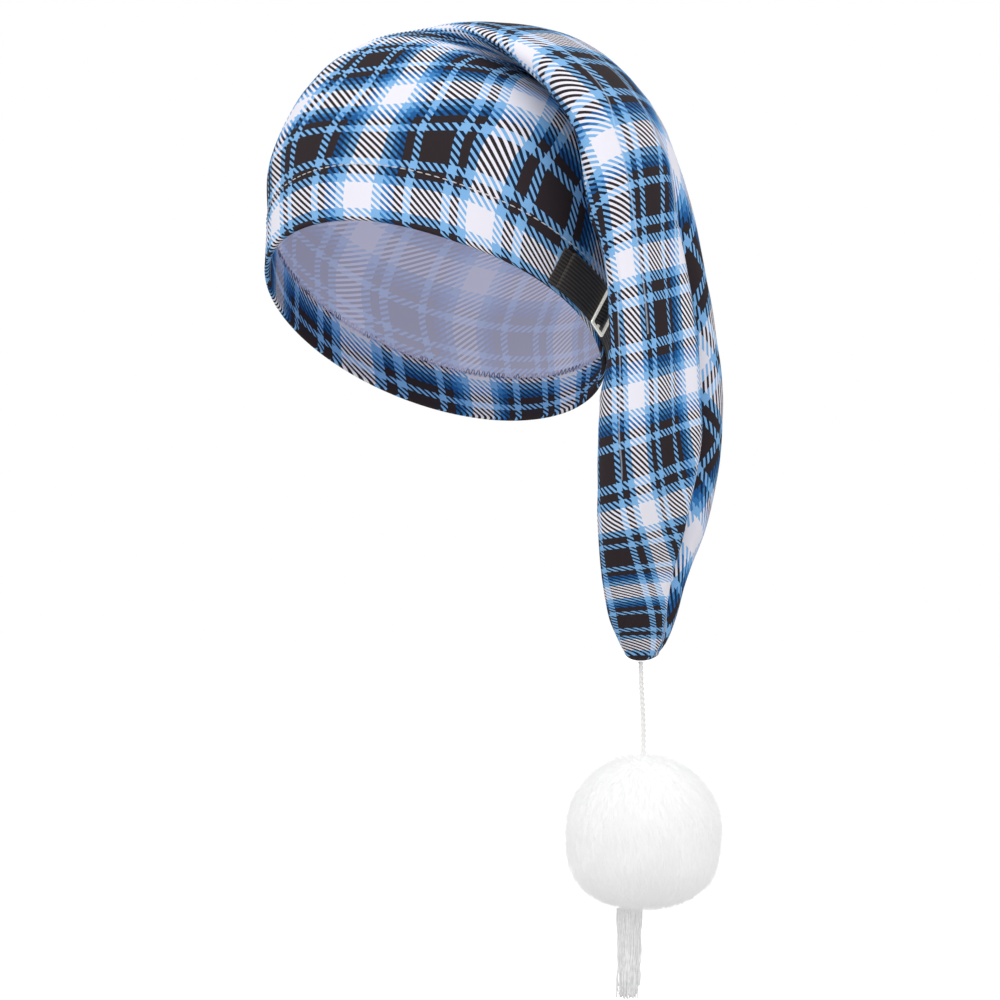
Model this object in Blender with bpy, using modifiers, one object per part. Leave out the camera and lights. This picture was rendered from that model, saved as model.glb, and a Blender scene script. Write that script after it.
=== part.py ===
"""A long soft nightcap: a round crown for a head, whose cloth folds over the top and hangs down the
wearer's left side as a tail, with an adjustable strap on the hem, and a pompom and a tassel on a cord.

The origin is the centre of the rim's opening. +Z is up, the wearer looks along -Y and the tail
hangs on the +X side, the wearer's left.
"""

import bisect
import math
from collections import namedtuple

import bmesh
import bpy
import numpy as np
from mathutils import Matrix, Vector

# The cap's driving sizes, in metres
RIM_RADIUS = 0.090  # the opening goes round a head of 56 cm
RIM_PITCH = 32.5  # degrees that the rim rises towards the forehead
CROWN_HEIGHT = 0.150  # from the rim's centre to the top of the crown
TAIL_SPAN = 0.048  # the tail's thickness, from the side at the head to its outer side
TAIL_SPACE = 0.013  # from the rim's side out to the tail, with room for the strap and its slider
TAIL_REACH = RIM_RADIUS + TAIL_SPACE + TAIL_SPAN / 2  # from the rim's centre to the tail's middle line
TAIL_DEPTH = 0.082  # the tail's width from front to back
TAIL_DROP = 0.165  # from the rim's centre down to the tail's tip
CLOTH = 0.0012
HEM_WIDTH = 0.028  # the cloth that is turned in and stitched along the rim
HEM_THICKNESS = 0.0026
HEM_STEP = 0.0012  # over this height the doubled hem thins to one cloth

# The strap and its slider
STRAP_WIDTH = 0.020
STRAP_THICKNESS = 0.0012
STRAP_RISE = 0.0009  # from the rim up to the strap's lower edge
STRAP_FRONT = 0.038  # from the slider forward to the end that comes out of the hem
STRAP_FOLD = 0.033  # from the slider forward to the fold of the upper layer
STRAP_REAR = 0.037  # from the slider back to the end that goes into the hem
STRAP_TAB = 0.008  # the upper layer's free end behind the slider
SLIDER_ANGLE = 93  # degrees round the rim from the forehead to the wearer's left
SLIDER_WIDTH = 0.0240
SLIDER_BAR = 0.0016
SLIDER_THICKNESS = 0.0012
BAR_SPACING = 0.0059
SLIDER_CORNER = 0.0012
SLOT_CORNER = 0.0004
WEAVE_TOP = 0.30  # share of BAR_SPACING from the middle bar to the bend of the strap over it
WEAVE_FOOT = 0.68  # share of BAR_SPACING to the strap's bend under the outer bars

# What hangs from the tail
CORD_DIAMETER = 0.0026
POMPOM_RADIUS = 0.0385
POMPOM_SQUASH = 0.965  # its height as a share of its width
POMPOM_SQUARENESS = 2.7  # its lower half is fuller than a ball, whose value is 2
POMPOM_DROP = 0.081  # from the tail's tip to the pompom's centre
LOCK_HEIGHT = 0.0022
LOCK_SAG = 0.0006
TASSEL_SINK = 0.0013  # the tassel's head sits this deep among the locks
TASSEL_LENGTH = 0.043
TASSEL_RADIUS = 0.0058
TASSEL_SHIFT = 0.0075  # from the pompom's axis towards the head
STRAND_COUNT = 9
STRAND_RADIUS = 0.0017
STRAND_TAPER = 0.6  # a strand's radius at its foot as a share of that at its top
STRAND_ROOT = 0.62  # the strands start this share of TASSEL_RADIUS from the tassel's axis
STRAND_VARIATION = 0.10  # the shortest strand is this share shorter than the longest

GAP = 0.0003  # between pieces that touch
SLIDER_GAP = 0.00045  # more, because the strap bends with the hem and the slider is flat
SMALL_STEP = 1e-4  # for the surface's directions

# The loft through the cap's sections
COLUMNS = 40
STEPS_PER_SECTION = 3
HEM_ROWS = 3
STRAP_STEPS = 24  # faces along each of the strap's layers
STRAND_SPREAD = 2.3  # radians between the phases of neighbouring strands' lengths

# A section is an ellipse. Out, back and up place its centre, lean turns its side axis (0 points away
# from the head's middle, 180 back towards it), and pitch raises its front axis, as a share of
# RIM_PITCH. Span and depth are shares of half the piece's size across and from front to back.
Section = namedtuple("Section", "out back up lean span depth pitch")

# Out, back, span and depth follow RIM_RADIUS, and up follows CROWN_HEIGHT
CROWN_SECTIONS = (
    Section(0.000, 0.000, 0.000, 2, 1.000, 0.955, 1.00),
    Section(0.000, 0.115, 0.190, 2, 1.055, 1.005, 0.98),
    Section(-0.020, 0.210, 0.342, 3, 1.085, 1.030, 0.93),
    Section(0.035, 0.345, 0.563, 7, 0.990, 0.980, 0.83),
    Section(0.130, 0.375, 0.725, 12, 0.765, 0.810, 0.68),
    Section(0.226, 0.355, 0.832, 20, 0.475, 0.640, 0.46),
)

# Out follows TAIL_REACH, back and depth TAIL_DEPTH, span TAIL_SPAN, and up CROWN_HEIGHT
FOLD_SECTIONS = (
    Section(0.320, 0.600, 0.868, 36, 1.160, 1.290, 0.26),
    Section(0.485, 0.450, 0.849, 60, 0.876, 1.160, 0.06),
    Section(0.632, 0.300, 0.781, 83, 0.775, 1.030, 0.00),
    Section(0.785, 0.190, 0.639, 108, 0.704, 0.980, 0.00),
)

# As the fold's, but up follows TAIL_DROP
TAIL_SECTIONS = (
    Section(0.885, 0.120, 0.395, 133, 0.840, 0.950, 0.00),
    Section(0.950, 0.100, 0.163, 153, 0.860, 0.940, 0.00),
    Section(0.990, 0.090, -0.122, 174, 0.930, 0.960, 0.00),
    Section(0.998, 0.060, -0.379, 180, 0.960, 0.985, 0.00),
    Section(0.978, 0.030, -0.597, 180, 0.850, 0.900, 0.00),
    Section(0.952, 0.000, -0.748, 180, 0.715, 0.720, 0.00),
    Section(0.945, -0.020, -0.870, 180, 0.590, 0.530, 0.00),
    Section(0.942, -0.010, -0.944, 180, 0.417, 0.360, 0.00),
    Section(0.938, 0.000, -0.987, 180, 0.250, 0.200, 0.00),
)
TIP = Section(0.936, 0.000, -1.000, 180, 0.0, 0.0, 0.00)

# A fold runs from start to end as a share of the way from the rim to the tip, and round the cap from
# one angle to the other, in degrees from the front through the inner side. A height is a share of
# TAIL_SPAN, a ridge if positive and a valley if not, and a width is in degrees.
Fold = namedtuple("Fold", "start end angle_start angle_end width height")
FOLDS = {
    "fullness at the nape": Fold(-0.15, 0.15, 205, 205, 50, 0.055),
    "flat temple": Fold(-0.15, 0.15, 35, 35, 24, -0.07),
    "pinch on the crown": Fold(0.22, 0.36, 318, 330, 7, -0.06),
    "tail's outer ridge": Fold(0.56, 0.97, 278, 284, 10, 0.10),
    "valley behind the ridge": Fold(0.56, 0.98, 260, 265, 9, -0.30),
    "bulge at the back": Fold(0.60, 0.93, 234, 230, 18, 0.07),
    "crease at the head's side": Fold(0.50, 0.85, 75, 70, 12, -0.08),
    "hollow beside the slider": Fold(0.57, 0.75, 40, 40, 26, -0.17),
}


def ring(section, reach, height, span, depth):
    """A section's centre and its two half axes, towards its inner side and its front, as rows."""
    lean = math.radians(section.lean)
    pitch = math.radians(section.pitch * RIM_PITCH)
    centre = (section.out * reach, section.back * depth / 2, section.up * height)
    inner = np.array((math.cos(lean), 0, -math.sin(lean))) * section.span * span / 2
    front = np.array((0, -math.cos(pitch), math.sin(pitch))) * section.depth * depth / 2
    return np.array((centre, inner, front))


def cap_rings():
    """The rings of all sections from the rim to the last one above the tip."""
    crown = [ring(s, RIM_RADIUS, CROWN_HEIGHT, 2 * RIM_RADIUS, 2 * RIM_RADIUS) for s in CROWN_SECTIONS]
    fold = [ring(s, TAIL_REACH, CROWN_HEIGHT, TAIL_SPAN, TAIL_DEPTH) for s in FOLD_SECTIONS]
    tail = [ring(s, TAIL_REACH, TAIL_DROP, TAIL_SPAN, TAIL_DEPTH) for s in TAIL_SECTIONS]
    return np.array(crown + fold + tail)


def ring_distances(rings):
    """How far along the cloth each ring lies from the rim, on the mean of its four sides."""
    centres, inner, front = rings[:, 0], rings[:, 1], rings[:, 2]
    sides = np.stack((centres + inner, centres - inner, centres + front, centres - front))
    steps = np.linalg.norm(np.diff(sides, axis=1), axis=2).mean(axis=0)
    return np.concatenate(((0.0,), np.cumsum(steps)))


RINGS = cap_rings()
DISTANCES = ring_distances(RINGS)
CLOTH_LENGTH = DISTANCES[-1]


def ring_at(distance):
    """The ring at a distance from the rim, on smooth curves through the sections."""
    last = len(DISTANCES) - 1
    start = min(max(bisect.bisect_right(DISTANCES, distance) - 1, 0), last - 1)
    end = start + 1
    slopes = []
    for knot in (start, end):
        before, after = max(knot - 1, 0), min(knot + 1, last)
        slopes.append((RINGS[after] - RINGS[before]) / (DISTANCES[after] - DISTANCES[before]))
    step = DISTANCES[end] - DISTANCES[start]
    t = (distance - DISTANCES[start]) / step
    from_start = RINGS[start] * (1 + 2 * t) * (1 - t) ** 2 + slopes[0] * step * t * (1 - t) ** 2
    from_end = RINGS[end] * t**2 * (3 - 2 * t) + slopes[1] * step * t**2 * (t - 1)
    return from_start + from_end


def fold_height(distance, degrees):
    """How far the folds raise or sink the cloth at a distance from the rim and an angle."""
    share = distance / CLOTH_LENGTH
    height = 0
    for fold in FOLDS.values():
        along = (share - fold.start) / (fold.end - fold.start)
        if 0 < along < 1:
            middle = fold.angle_start + (fold.angle_end - fold.angle_start) * along
            across = (degrees - middle + 180) % 360 - 180
            height += fold.height * math.sin(math.pi * along) * math.exp(-((across / fold.width) ** 2))
    return height * TAIL_SPAN


def cap_point(distance, degrees):
    """A point on the cap's outer face."""
    centre, inner, front = ring_at(distance)
    angle = math.radians(degrees)
    arm = inner * math.sin(angle) + front * math.cos(angle)
    return Vector(centre + arm * (1 + fold_height(distance, degrees) / np.linalg.norm(arm)))


def row_distances():
    """The loft's rows: along the hem, over its step, then between the sections."""
    rows = [HEM_WIDTH * row / HEM_ROWS for row in range(HEM_ROWS + 1)]
    rows.append(HEM_WIDTH + HEM_STEP)
    for start, end in zip(DISTANCES[1:], DISTANCES[2:]):
        between = [start + (end - start) * step / STEPS_PER_SECTION for step in range(STEPS_PER_SECTION)]
        rows += [distance for distance in between if distance > rows[-1] + HEM_STEP]
    return rows + [CLOTH_LENGTH]


def material(name, colour, roughness, metallic=0.0):
    """A plain material with one colour."""
    made = bpy.data.materials.new(name)
    made.use_nodes = True
    shader = made.node_tree.nodes["Principled BSDF"]
    shader.inputs["Base Color"].default_value = (*colour, 1)
    shader.inputs["Roughness"].default_value = roughness
    shader.inputs["Metallic"].default_value = metallic
    return made


def new_collection(name):
    """A collection in the scene."""
    made = bpy.data.collections.new(name)
    bpy.context.scene.collection.children.link(made)
    return made


def add_object(name, data, collection, look):
    """An object of a mesh or curve, with its material."""
    made = bpy.data.objects.new(name, data)
    data.materials.append(look)
    collection.objects.link(made)
    return made


def mesh_object(name, bm, collection, look):
    """An object of a bmesh, shaded smooth, with its material."""
    mesh = bpy.data.meshes.new(name)
    bm.to_mesh(mesh)
    bm.free()
    mesh.shade_smooth()
    return add_object(name, mesh, collection, look)


def build_crown_and_tail(collection, look):
    """The cloth as one open loft from the rim to the closed tip, thickened inwards, doubled at the hem."""
    bm = bmesh.new()
    weights = bm.verts.layers.deform.new()
    rows = []
    for distance in row_distances():
        row = [bm.verts.new(cap_point(distance, 360 * column / COLUMNS)) for column in range(COLUMNS)]
        for vertex in row:
            vertex[weights][0] = 1.0 if distance <= HEM_WIDTH else 0.0
        rows.append(row)
    for lower, upper in zip(rows, rows[1:]):
        for column in range(COLUMNS):
            beside = (column + 1) % COLUMNS
            bm.faces.new((lower[column], lower[beside], upper[beside], upper[column]))
    tip = bm.verts.new(ring(TIP, TAIL_REACH, TAIL_DROP, TAIL_SPAN, TAIL_DEPTH)[0])
    for column in range(COLUMNS):
        bm.faces.new((rows[-1][column], rows[-1][(column + 1) % COLUMNS], tip))

    cap = mesh_object("crown_and_tail", bm, collection, look)
    cap.vertex_groups.new(name="hem")
    wall = cap.modifiers.new("Wall", "SOLIDIFY")
    wall.thickness = HEM_THICKNESS
    wall.offset = -1
    wall.vertex_group = "hem"
    wall.thickness_vertex_group = CLOTH / HEM_THICKNESS
    return cap


def tangents(distance, degrees):
    """A point on the outer face, the unit direction round the cap, and the step along the cloth."""
    point = cap_point(distance, degrees)
    beside = cap_point(distance, degrees + math.degrees(SMALL_STEP / RIM_RADIUS)) - point
    above = cap_point(distance + SMALL_STEP, degrees) - point
    return point, beside.normalized(), above / SMALL_STEP


def hem_frame(along, rise, height):
    """A point over the hem's face, and the directions along the rim, up the hem and outwards.

    Along is measured round the rim from the slider towards the back, and rise from the rim.
    """
    degrees = SLIDER_ANGLE + math.degrees(along / RIM_RADIUS)
    # The cap's lines lean along the rim, so the strap is turned against them to cross it squarely
    middle = STRAP_RISE + STRAP_WIDTH / 2
    _, beside, above = tangents(middle, degrees)
    degrees -= math.degrees((rise - middle) * above.dot(beside) / RIM_RADIUS)
    point, beside, above = tangents(rise, degrees)
    outward = beside.cross(above).normalized()
    return point + outward * height, beside, outward.cross(beside), outward


LOWER_LAYER = GAP + STRAP_THICKNESS / 2  # the layers' middles, from the hem's face
UPPER_LAYER = LOWER_LAYER + STRAP_THICKNESS + GAP
SLIDER_HEIGHT = UPPER_LAYER + STRAP_THICKNESS / 2 + SLIDER_GAP + SLIDER_THICKNESS / 2
STRAP_CREST = SLIDER_HEIGHT + SLIDER_THICKNESS / 2 + SLIDER_GAP + STRAP_THICKNESS / 2
FOLD_LENGTH = 2 * STRAP_THICKNESS  # where the layers join


def woven_path():
    """The upper layer's middle from its fold under, over and under the slider's three bars."""
    foot, top = WEAVE_FOOT * BAR_SPACING, WEAVE_TOP * BAR_SPACING
    pieces = STRAP_STEPS // 2
    run = STRAP_FOLD - FOLD_LENGTH - foot
    path = [(-STRAP_FOLD + FOLD_LENGTH + run * piece / pieces, UPPER_LAYER) for piece in range(pieces)]
    path += [(-foot, UPPER_LAYER), (-top, STRAP_CREST), (top, STRAP_CREST), (foot, UPPER_LAYER)]
    return path + [(STRAP_TAB, UPPER_LAYER)]


def offset_path(path, offset):
    """The path moved sideways, with mitred corners."""
    points = [Vector(point) for point in path]
    moved = []
    for index, point in enumerate(points):
        before = (point - points[max(index - 1, 0)]).normalized()
        after = (points[min(index + 1, len(points) - 1)] - point).normalized()
        side = (before + after).normalized().orthogonal()
        if side.dot(Vector((0, 1))) < 0:
            side.negate()
        bend = max(side.dot((after if after.length else before).orthogonal().normalized()), 0.5)
        moved.append(point + side * offset / bend)
    return moved


def strap_outline():
    """The strap seen from its edge: the lower layer, and the upper one that joins it at the fold."""
    low, high = LOWER_LAYER - STRAP_THICKNESS / 2, LOWER_LAYER + STRAP_THICKNESS / 2
    total = STRAP_FRONT + STRAP_REAR
    alongs = [-STRAP_FRONT + total * piece / STRAP_STEPS for piece in range(STRAP_STEPS + 1)]
    outline = [(along, low) for along in alongs]
    outline += [(along, high) for along in reversed(alongs) if along > -STRAP_FOLD + FOLD_LENGTH]
    upper = woven_path()
    under, over = offset_path(upper, -STRAP_THICKNESS / 2), offset_path(upper, STRAP_THICKNESS / 2)
    outline += [tuple(point) for point in under]
    outline += [tuple(point) for point in reversed(over)]
    outline += [(-STRAP_FOLD, UPPER_LAYER), (-STRAP_FOLD, high), (-STRAP_FRONT, high)]
    return outline


def build_strap(collection, look):
    """The elastic: its outline from the edge, extruded across its width and laid round the hem."""
    bm = bmesh.new()
    edge = bm.faces.new([bm.verts.new((along, height, 0)) for along, height in strap_outline()])
    made = bmesh.ops.extrude_face_region(bm, geom=[edge], use_keep_orig=True)
    far = [item for item in made["geom"] if isinstance(item, bmesh.types.BMVert)]
    bmesh.ops.translate(bm, verts=far, vec=(0, 0, STRAP_WIDTH))
    caps = [face for face in bm.faces if len(face.verts) > 4]
    bmesh.ops.triangulate(bm, faces=caps)
    for share in (1 / 3, 2 / 3):
        parts = list(bm.verts) + list(bm.edges) + list(bm.faces)
        bmesh.ops.bisect_plane(bm, geom=parts, plane_co=(0, 0, STRAP_WIDTH * share), plane_no=(0, 0, 1))
    bmesh.ops.recalc_face_normals(bm, faces=bm.faces)
    for vertex in bm.verts:
        along, height, across = vertex.co
        vertex.co = hem_frame(along, STRAP_RISE + across, height)[0]
    # The hem's axes turn the other way than the outline's, so its faces are turned too
    bmesh.ops.reverse_faces(bm, faces=bm.faces)
    strap = mesh_object("elastic_strap", bm, collection, look)
    strap.data.set_sharp_from_angle(angle=math.radians(40))
    return strap


def rounded_rectangle(curve, middle, length, width, corner):
    """A closed spline of the given size, whose corners are quarter circles of three points."""
    spline = curve.splines.new("POLY")
    points = []
    for quarter, (right, top) in enumerate(((1, 1), (-1, 1), (-1, -1), (1, -1))):
        centre = Vector((middle + right * (length / 2 - corner), top * (width / 2 - corner)))
        for step in range(3):
            angle = math.radians(90 * quarter + 45 * step)
            points.append(centre + corner * Vector((math.cos(angle), math.sin(angle))))
    spline.points.add(len(points) - 1)
    for target, (x, y) in zip(spline.points, points):
        target.co = (x, y, 0, 1)
    spline.use_cyclic_u = True


def build_slider(collection, look):
    """The flat slider: a rounded plate with two slots, which leave three bars across the strap."""
    curve = bpy.data.curves.new("slider_buckle", "CURVE")
    curve.dimensions = "2D"
    curve.fill_mode = "BOTH"
    curve.extrude = SLIDER_THICKNESS / 2
    length = 2 * BAR_SPACING + SLIDER_BAR
    rounded_rectangle(curve, 0, length, SLIDER_WIDTH, SLIDER_CORNER)
    slot_width = SLIDER_WIDTH - 2 * SLIDER_BAR
    for side in (-1, 1):
        rounded_rectangle(curve, side * BAR_SPACING / 2, BAR_SPACING - SLIDER_BAR, slot_width, SLOT_CORNER)
    slider = add_object("slider_buckle", curve, collection, look)
    point, along, upward, outward = hem_frame(0, STRAP_RISE + STRAP_WIDTH / 2, SLIDER_HEIGHT)
    axes = Matrix((along, upward, outward)).transposed().to_4x4()
    slider.matrix_world = Matrix.Translation(point) @ axes
    return slider


def tip_point():
    """The outer face's lowest point, at the tail's tip."""
    return Vector(ring(TIP, TAIL_REACH, TAIL_DROP, TAIL_SPAN, TAIL_DEPTH)[0])


# The cord's route from the tail's tip to the pompom: out, back, and down as a share of its length
CORD_ROUTE = (
    (0.0000, 0.0000, 0.000),
    (0.0001, 0.0002, 0.236),
    (0.0007, 0.0004, 0.481),
    (0.0012, 0.0003, 0.726),
    (0.0014, 0.0000, 1.000),
)
CORD_POINTS = 10
CORD_START = 0.0004  # below the tail's tip
POLE_SINK = 0.0016  # the fur's backing lies this much inside POMPOM_RADIUS at its top, under the locks


def cord_points():
    """The cord's middle line, which ends just above the pompom."""
    tip = tip_point()
    start = tip.z - CORD_START
    length = start - (pompom_centre().z + POMPOM_RADIUS * POMPOM_SQUASH - POLE_SINK)
    route = [(tip.x + out, back, start - share * length) for out, back, share in CORD_ROUTE]
    return smooth_route(route, CORD_POINTS)


def smooth_route(route, count):
    """Points read at even steps from a smooth curve through the route's own points."""
    points = np.array(route)
    last = len(points) - 1
    read = []
    for step in range(count):
        place = last * step / (count - 1)
        start = min(int(place), last - 1)
        before, a, b, after = (points[min(max(start + k, 0), last)] for k in (-1, 0, 1, 2))
        t = place - start
        read.append(
            (2 * a + (b - before) * t + (2 * before - 5 * a + 4 * b - after) * t**2
             + (3 * a - before - 3 * b + after) * t**3) / 2
        )
    return read


def build_cord(collection, look):
    """The cord between the tail's tip and the pompom."""
    curve = bpy.data.curves.new("hanging_cord", "CURVE")
    curve.dimensions = "3D"
    curve.bevel_depth = CORD_DIAMETER / 2
    curve.bevel_resolution = 2
    curve.use_fill_caps = True
    spline = curve.splines.new("POLY")
    points = cord_points()
    spline.points.add(len(points) - 1)
    for target, point in zip(spline.points, points):
        target.co = (*point, 1)
    return add_object("hanging_cord", curve, collection, look)


def pompom_centre():
    """The pompom hangs under the cord's lower end."""
    out, back, _ = CORD_ROUTE[-1]
    return tip_point() + Vector((out, back, -POMPOM_DROP))


def pompom_reach(direction):
    """How far the fur reaches in a direction, as a share of its radius: a ball, fuller below."""
    if direction.z > 0:
        return 1.0
    level = math.hypot(direction.x, direction.y)
    total = level**POMPOM_SQUARENESS + abs(direction.z) ** POMPOM_SQUARENESS
    return total ** (-1 / POMPOM_SQUARENESS)


def build_pompom(collection, look):
    """The fur: a round backing with a raised lock on each of its faces, combed slightly down."""
    bm = bmesh.new()
    bmesh.ops.create_icosphere(bm, subdivisions=3, radius=1)
    for vertex in bm.verts:
        vertex.co *= (POMPOM_RADIUS - LOCK_HEIGHT) * pompom_reach(vertex.co.normalized())
    backing = set(bm.verts)
    bmesh.ops.poke(bm, faces=bm.faces, offset=LOCK_HEIGHT)
    for vertex in bm.verts:
        if vertex not in backing:
            vertex.co.z -= LOCK_SAG
        vertex.co.z *= POMPOM_SQUASH
    bmesh.ops.translate(bm, verts=bm.verts, vec=pompom_centre())
    return mesh_object("pompom", bm, collection, look)


def add_strand(name, top, foot, collection, look):
    """One strand of the tassel, a tapered rod between two points."""
    axis = Vector(foot) - Vector(top)
    bm = bmesh.new()
    bmesh.ops.create_cone(
        bm, cap_ends=True, segments=6, radius1=STRAND_RADIUS, radius2=STRAND_TAPER * STRAND_RADIUS, depth=axis.length
    )
    turn = Vector((0, 0, 1)).rotation_difference(axis).to_matrix().to_4x4()
    bmesh.ops.transform(bm, matrix=Matrix.Translation(Vector(top) + axis / 2) @ turn, verts=bm.verts)
    strand = mesh_object(name, bm, collection, look)
    strand.hide_render = True
    strand.display_type = "WIRE"
    return strand


def build_tassel(collection, cutters, look):
    """The silk tassel: a bound head under the pompom, with strands of unlike length fused to it."""
    centre = pompom_centre() - Vector((TASSEL_SHIFT, 0, 0))
    level = TASSEL_SHIFT / POMPOM_RADIUS
    below = Vector((level, 0, -math.sqrt(1 - level**2)))
    top = centre.z + POMPOM_RADIUS * POMPOM_SQUASH * pompom_reach(below) * below.z + TASSEL_SINK - LOCK_SAG - GAP
    bm = bmesh.new()
    bmesh.ops.create_uvsphere(bm, u_segments=12, v_segments=8, radius=TASSEL_RADIUS)
    bmesh.ops.translate(bm, verts=bm.verts, vec=(centre.x, centre.y, top - TASSEL_RADIUS))
    tassel = mesh_object("tassel", bm, collection, look)
    for index in range(STRAND_COUNT):
        angle = 2 * math.pi * index / STRAND_COUNT
        out = Vector((math.cos(angle), math.sin(angle), 0))
        length = TASSEL_LENGTH * (1 - STRAND_VARIATION * math.sin(STRAND_SPREAD * index) ** 2)
        start = Vector((centre.x, centre.y, top - TASSEL_RADIUS)) + out * STRAND_ROOT * TASSEL_RADIUS
        end = Vector((centre.x, centre.y, top - length)) + out * (TASSEL_RADIUS - STRAND_RADIUS)
        strand = add_strand(f"strand_{index + 1}", start, end, cutters, look)
        union = tassel.modifiers.new(strand.name, "BOOLEAN")
        union.operation = "UNION"
        union.object = strand
    return tassel


def build():
    """The whole nightcap, in a collection of its own."""
    for old in list(bpy.data.objects):
        bpy.data.objects.remove(old, do_unlink=True)
    nightcap = new_collection("nightcap")
    cutters = new_collection("tassel_strands")
    cutters.hide_render = True

    plaid = material("plaid_cloth", (0.18, 0.35, 0.60), 0.80)
    elastic = material("black_elastic", (0.015, 0.015, 0.017), 0.75)
    steel = material("bright_metal", (0.80, 0.79, 0.77), 0.20, metallic=1.0)
    cord = material("light_cord", (0.78, 0.77, 0.76), 0.60)
    fur = material("white_fur", (0.90, 0.90, 0.90), 0.95)
    silk = material("grey_silk", (0.72, 0.72, 0.72), 0.45)

    build_crown_and_tail(nightcap, plaid)
    build_strap(nightcap, elastic)
    build_slider(nightcap, steel)
    build_cord(nightcap, cord)
    build_pompom(nightcap, fur)
    build_tassel(nightcap, cutters, silk)


build()
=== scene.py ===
# The looks of a long plaid nightcap with a fur ball and a tassel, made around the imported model.
# Metres, +Z up. The wearer looks along -Y and the tail hangs on the +X side.

import math

import bmesh
import bpy
import numpy as np
from mathutils import Matrix, Vector, noise


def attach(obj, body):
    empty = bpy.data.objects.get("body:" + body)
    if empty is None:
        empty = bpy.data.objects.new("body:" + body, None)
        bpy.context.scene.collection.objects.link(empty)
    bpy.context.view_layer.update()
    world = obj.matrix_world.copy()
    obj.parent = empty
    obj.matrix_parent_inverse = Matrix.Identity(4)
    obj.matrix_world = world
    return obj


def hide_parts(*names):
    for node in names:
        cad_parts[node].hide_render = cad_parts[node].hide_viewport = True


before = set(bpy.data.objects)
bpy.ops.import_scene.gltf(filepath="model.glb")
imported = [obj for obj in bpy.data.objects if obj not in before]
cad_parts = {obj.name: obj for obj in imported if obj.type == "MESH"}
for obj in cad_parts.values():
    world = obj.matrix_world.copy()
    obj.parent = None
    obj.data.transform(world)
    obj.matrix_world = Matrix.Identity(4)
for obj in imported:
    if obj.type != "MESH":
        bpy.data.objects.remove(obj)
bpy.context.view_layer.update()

print("frame loaded:", ", ".join(sorted(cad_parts)))

# Camera: the photo's view, level and from the wearer's front left
cameraSetup = {
    "azimuth": 32.0,
    "distance": 1.39,
    "lens": 100.0,
    "sensor": 36.0,
    "aimRight": 0.0335,
    "aimDown": 0.0882,
}

azimuth = math.radians(cameraSetup["azimuth"])
viewRight = Vector((math.cos(azimuth), math.sin(azimuth), 0))
viewAway = Vector((-math.sin(azimuth), math.cos(azimuth), 0))
aimPoint = viewRight * cameraSetup["aimRight"] - Vector((0, 0, cameraSetup["aimDown"]))
cameraData = bpy.data.cameras.new("photoCamera")
cameraData.lens = cameraSetup["lens"]
cameraData.sensor_width = cameraSetup["sensor"]
camera = bpy.data.objects.new("photoCamera", cameraData)
camera.location = aimPoint - viewAway * cameraSetup["distance"]
camera.rotation_euler = (math.radians(90), 0, azimuth)
bpy.context.scene.collection.objects.link(camera)
bpy.context.scene.camera = camera


# Materials and meshes
def addNode(tree, kind, inputs=None, **settings):
    node = tree.nodes.new(kind)
    for name, value in settings.items():
        setattr(node, name, value)
    for key, value in (inputs or {}).items():
        if isinstance(value, bpy.types.NodeSocket):
            tree.links.new(value, node.inputs[key])
        else:
            node.inputs[key].default_value = value
    return node


def mathNode(tree, operation, first, second=0.0, third=0.0):
    return addNode(tree, "ShaderNodeMath", {0: first, 1: second, 2: third}, operation=operation).outputs[0]


def mixColour(tree, share, first, second):
    return addNode(tree, "ShaderNodeMix", {0: share, 6: first, 7: second}, data_type="RGBA").outputs[2]


def objectPlace(tree):
    return addNode(tree, "ShaderNodeTexCoord").outputs["Object"]


def mapPlace(tree, name):
    return addNode(tree, "ShaderNodeUVMap", uv_map=name).outputs[0]


def noiseNode(tree, place, scale, detail=2.0, output=0):
    return addNode(tree, "ShaderNodeTexNoise", {"Vector": place, "Scale": scale, "Detail": detail}).outputs[output]


def waveNode(tree, place, scale, distortion, direction):
    inputs = {"Vector": place, "Scale": scale, "Distortion": distortion}
    return addNode(tree, "ShaderNodeTexWave", inputs, bands_direction=direction).outputs[1]


def addGlow(shader, strength, colour=(1, 1, 1, 1)):
    shader.inputs["Emission Color"].default_value = colour
    shader.inputs["Emission Strength"].default_value = strength


def addBump(tree, shader, height, strength, distance):
    bump = addNode(tree, "ShaderNodeBump", {"Height": height, "Strength": strength, "Distance": distance})
    tree.links.new(bump.outputs[0], shader.inputs["Normal"])


def newMaterial(name, colour, roughness, **extra):
    made = bpy.data.materials.new(name)
    made.use_nodes = True
    shader = made.node_tree.nodes["Principled BSDF"]
    shader.inputs["Base Color"].default_value = colour
    shader.inputs["Roughness"].default_value = roughness
    for socket, value in extra.items():
        shader.inputs[socket].default_value = value
    return made, made.node_tree, shader


def hexColour(text):
    channels = [int(text[i : i + 2], 16) / 255 for i in (0, 2, 4)]
    return (*[c / 12.92 if c <= 0.04045 else ((c + 0.055) / 1.055) ** 2.4 for c in channels], 1.0)


def addPiece(name, data, *materials):
    piece = bpy.data.objects.new(name, data)
    bpy.context.scene.collection.objects.link(piece)
    for material in materials:
        data.materials.append(material)
    return piece


def fitPiece(piece, node=None):
    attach(piece, "root")
    if node:
        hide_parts(node)


def bakePiece(piece):
    evaluated = piece.evaluated_get(bpy.context.evaluated_depsgraph_get())
    mesh = bpy.data.meshes.new_from_object(evaluated)
    name, material = piece.name, list(piece.data.materials)
    bpy.data.objects.remove(piece, do_unlink=True)
    if not mesh.materials:
        for one in material:
            mesh.materials.append(one)
    baked = bpy.data.objects.new(name, mesh)
    bpy.context.scene.collection.objects.link(baked)
    return baked


def pathLengths(line):
    # the way travelled to each point of a line
    return np.concatenate(((0,), np.cumsum(np.linalg.norm(np.diff(line, axis=0), axis=1))))


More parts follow.
